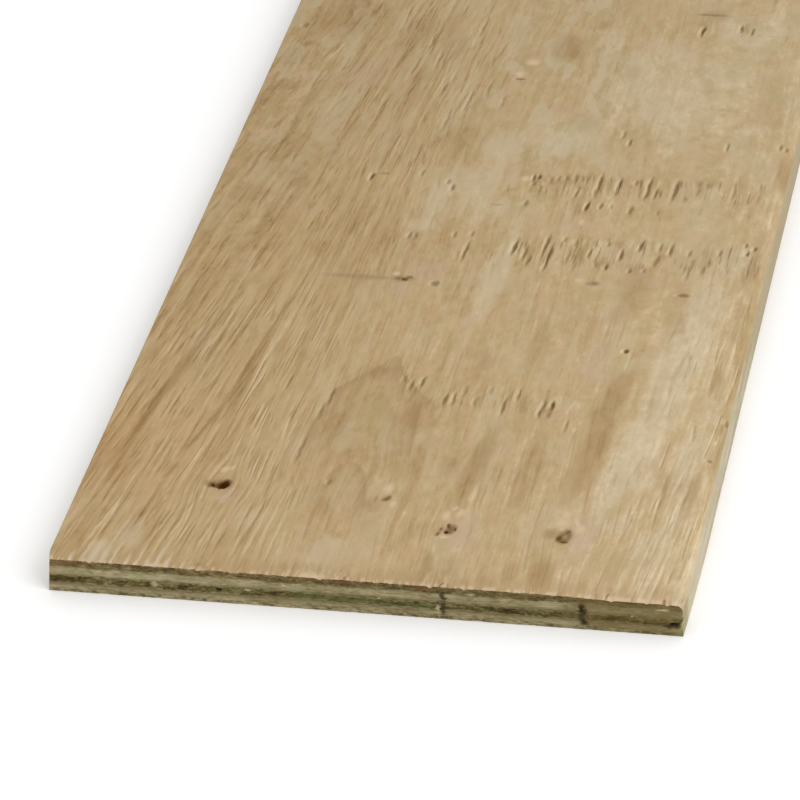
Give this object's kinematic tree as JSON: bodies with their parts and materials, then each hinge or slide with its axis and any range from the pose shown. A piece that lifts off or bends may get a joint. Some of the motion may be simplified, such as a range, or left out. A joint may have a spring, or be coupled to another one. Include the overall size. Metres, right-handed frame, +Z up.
{
  "type": "plywood sheet",
  "caption": "Long narrow softwood plywood panel with cross-banded veneers showing on its cut ends and one long edge rounded over.",
  "frame": {"origin": "middle of the underside, on the plane the sheet lies on", "axes": "+Y along the sheet and its face grain, away from the front end; +X across the sheet, towards the rounded-over edge; +Z up out of the upper face"},
  "size_m": [0.3048, 1.2192, 0.0183],
  "materials": {
    "face_veneer": "dry rotary-cut softwood, fine raised grain",
    "crossband": "sawn edge, preservative tint",
    "centre_veneer": "sawn end grain, dark preservative tint",
    "back_veneer": "dry rotary-cut softwood, unsanded"
  },
  "bodies": {
    "root": {"face_veneer": "face_veneer", "upper_crossband": "crossband", "centre_veneer": "centre_veneer", "lower_crossband": "crossband", "back_veneer": "back_veneer"}
  },
  "joints": []
}
